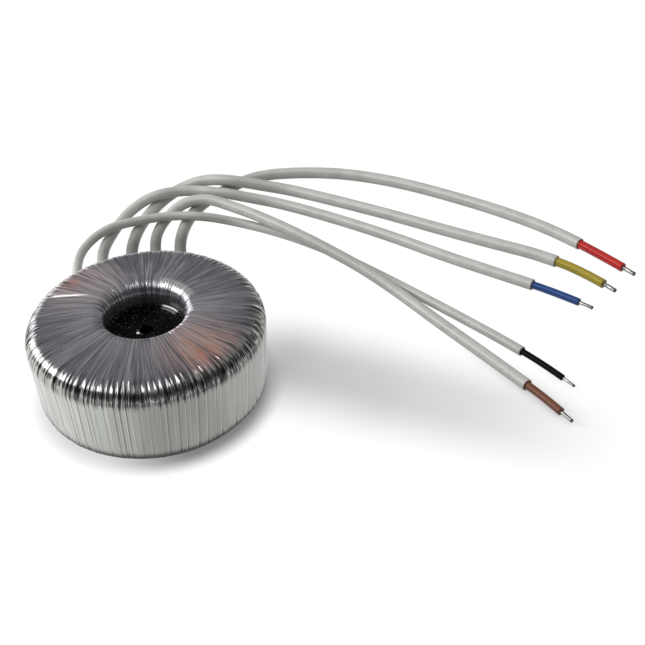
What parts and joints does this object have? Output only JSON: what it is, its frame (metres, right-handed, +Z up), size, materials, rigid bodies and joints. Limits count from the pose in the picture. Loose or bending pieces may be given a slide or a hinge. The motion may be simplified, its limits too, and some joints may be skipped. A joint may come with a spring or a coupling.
{
  "type": "toroidal transformer",
  "caption": "Ring-shaped mains transformer wrapped in clear ridged film, its centre filled with black resin round a screw hole, with sleeved flying leads that end bare.",
  "frame": {"origin": "centre of the body's base, on the surface it stands on, leads left out", "axes": "+Z up along the ring's axis, which is the screw hole's axis; the leads leave the back wall towards +Y and end towards +X"},
  "size_m": [0.2129, 0.1684, 0.0346],
  "materials": {
    "film": "clear glossy polyester film in overlapping turns, silvery over the winding",
    "resin": "black casting resin, glossy with a slightly uneven surface",
    "sleeve": "warm light grey PVC, satin",
    "wire_black": "PVC insulation, semi-gloss",
    "wire_blue": "PVC insulation, semi-gloss",
    "wire_yellow": "PVC insulation, semi-gloss",
    "wire_brown": "PVC insulation, semi-gloss",
    "wire_red": "PVC insulation, semi-gloss",
    "tinned_copper": "tinned stranded copper, bright",
    "solder": "solder",
    "copper": "enamelled copper wire, wound",
    "insulation": "polyester tape",
    "steel": "grain-oriented steel strip, wound"
  },
  "bodies": {
    "root": {"core": "steel", "core_cover": "insulation", "primary_winding": "copper", "winding_barrier": "insulation", "secondary_winding": "copper", "lead_splices": "solder", "film_wrap": "film", "centre_resin": "resin", "lead_sleeve_black": "sleeve", "lead_wire_black": "wire_black", "lead_conductor_black": "tinned_copper", "lead_sleeve_blue": "sleeve", "lead_wire_blue": "wire_blue", "lead_conductor_blue": "tinned_copper", "lead_sleeve_yellow": "sleeve", "lead_wire_yellow": "wire_yellow", "lead_conductor_yellow": "tinned_copper", "lead_sleeve_brown": "sleeve", "lead_wire_brown": "wire_brown", "lead_conductor_brown": "tinned_copper", "lead_sleeve_red": "sleeve", "lead_wire_red": "wire_red", "lead_conductor_red": "tinned_copper"}
  },
  "joints": []
}
